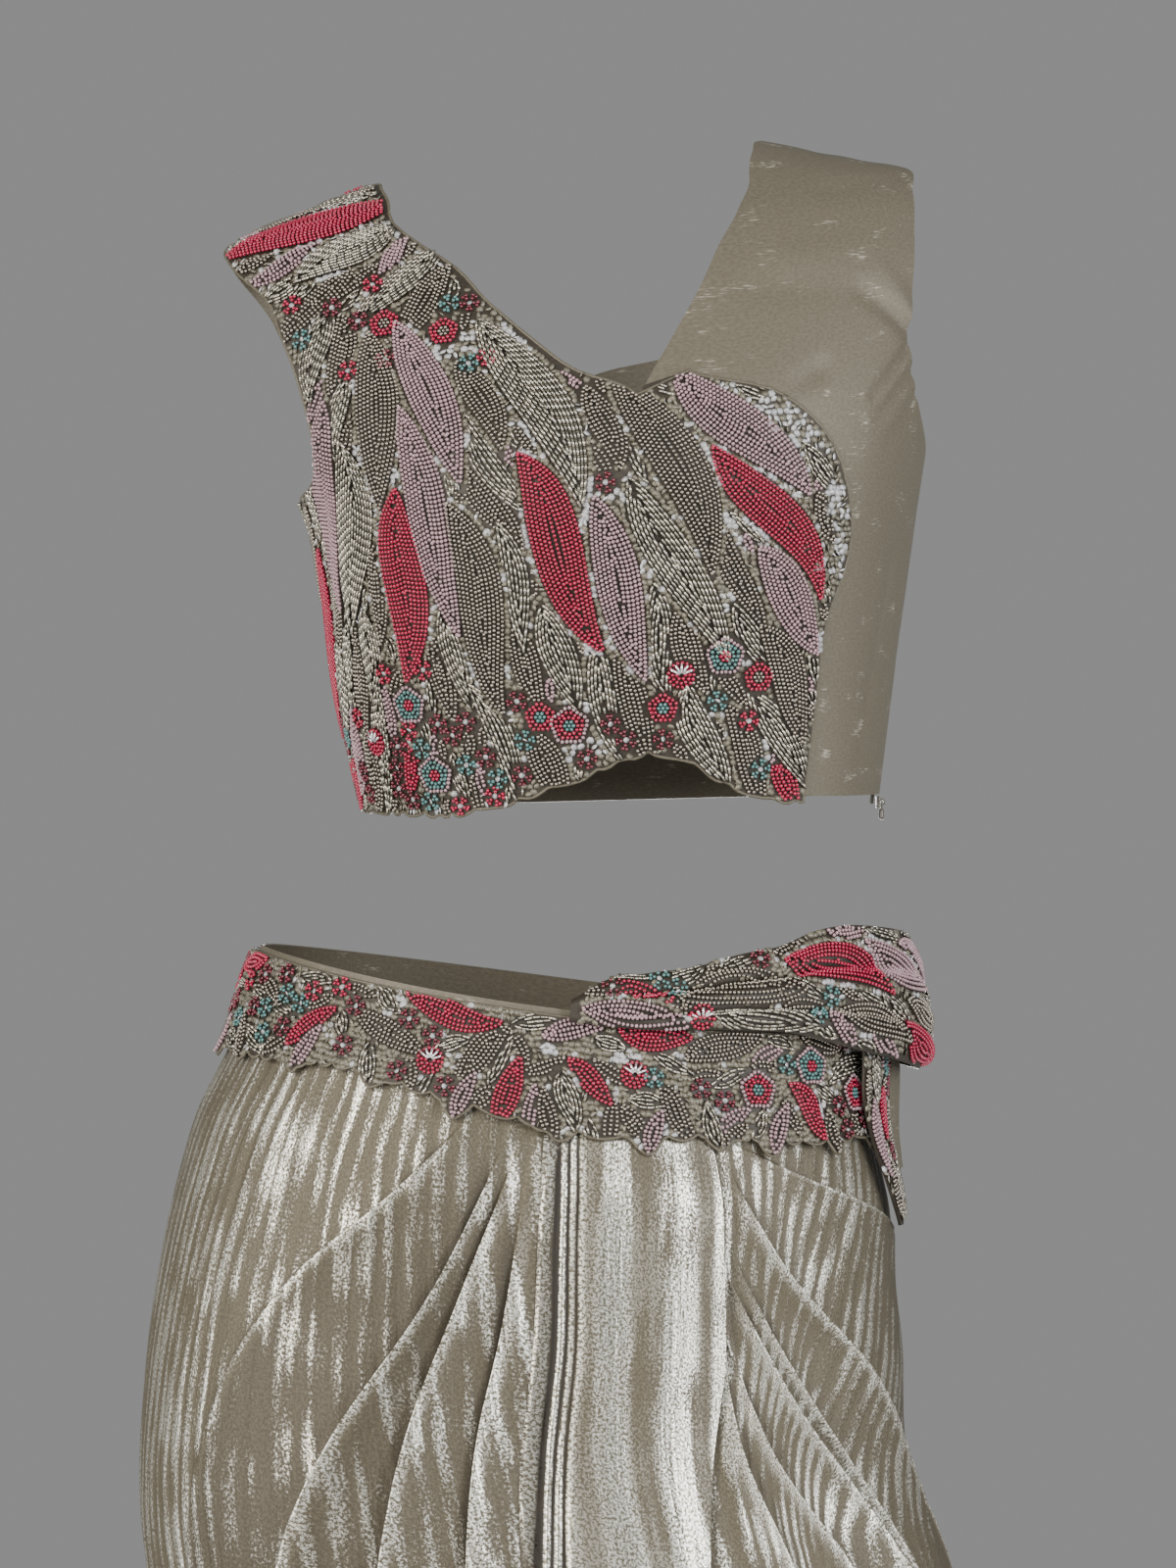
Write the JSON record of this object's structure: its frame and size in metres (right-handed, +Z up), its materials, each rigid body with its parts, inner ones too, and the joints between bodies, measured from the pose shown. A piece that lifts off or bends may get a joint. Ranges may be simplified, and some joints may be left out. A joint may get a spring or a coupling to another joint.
{
  "type": "pre-draped sari set",
  "caption": "Pre-draped sari set in metallic cloth: short blouse with one beaded side, stitched drape with knife pleats, beaded belt and a folded sash with a hanging tail.",
  "frame": {"origin": "middle of the waist opening, level with the waistband's top edge, where the wearer's body holds the set", "axes": "+Z up along the worn garment, the front faces -Y, the wearer's left side is +X"},
  "size_m": [0.569, 0.3902, 1.4201],
  "materials": {
    "plain_lame": "fine lame satin, taupe with short silvery slubs",
    "foil_lame": "crinkled foil-striped lame, taupe with champagne sheen",
    "beadwork": "glass seed beads, bugles and sequins sewn on cloth",
    "zip_tape": "woven polyester tape, dark",
    "zip_steel": "nickel-plated steel"
  },
  "bodies": {
    "garment": {"blouse_front_right": "plain_lame", "blouse_front_left": "plain_lame", "blouse_back_left": "plain_lame", "blouse_back_right": "plain_lame", "beadwork_right": "beadwork", "beadwork_left": "beadwork", "zip_tape": "zip_tape", "zip_slider": "zip_steel", "waistband_front": "plain_lame", "belt_front": "beadwork", "waistband_back": "plain_lame", "belt_back": "beadwork", "drape_right": "foil_lame", "front_pleats": "foil_lame", "drape_left": "foil_lame", "drape_back_left": "foil_lame", "drape_back_right": "foil_lame", "sash_wrap": "beadwork", "sash_tail": "beadwork", "sash_tail_fold": "plain_lame"},
    "zip_pull": {"zip_pull": "zip_steel"}
  },
  "joints": [
    {"name": "zip_pull_swing", "type": "hinge", "parent": "garment", "child": "zip_pull", "pos_m": [0.14675, 0, 0.08324], "axis": [0, -1, 0], "range_deg": [0, 160]}
  ]
}
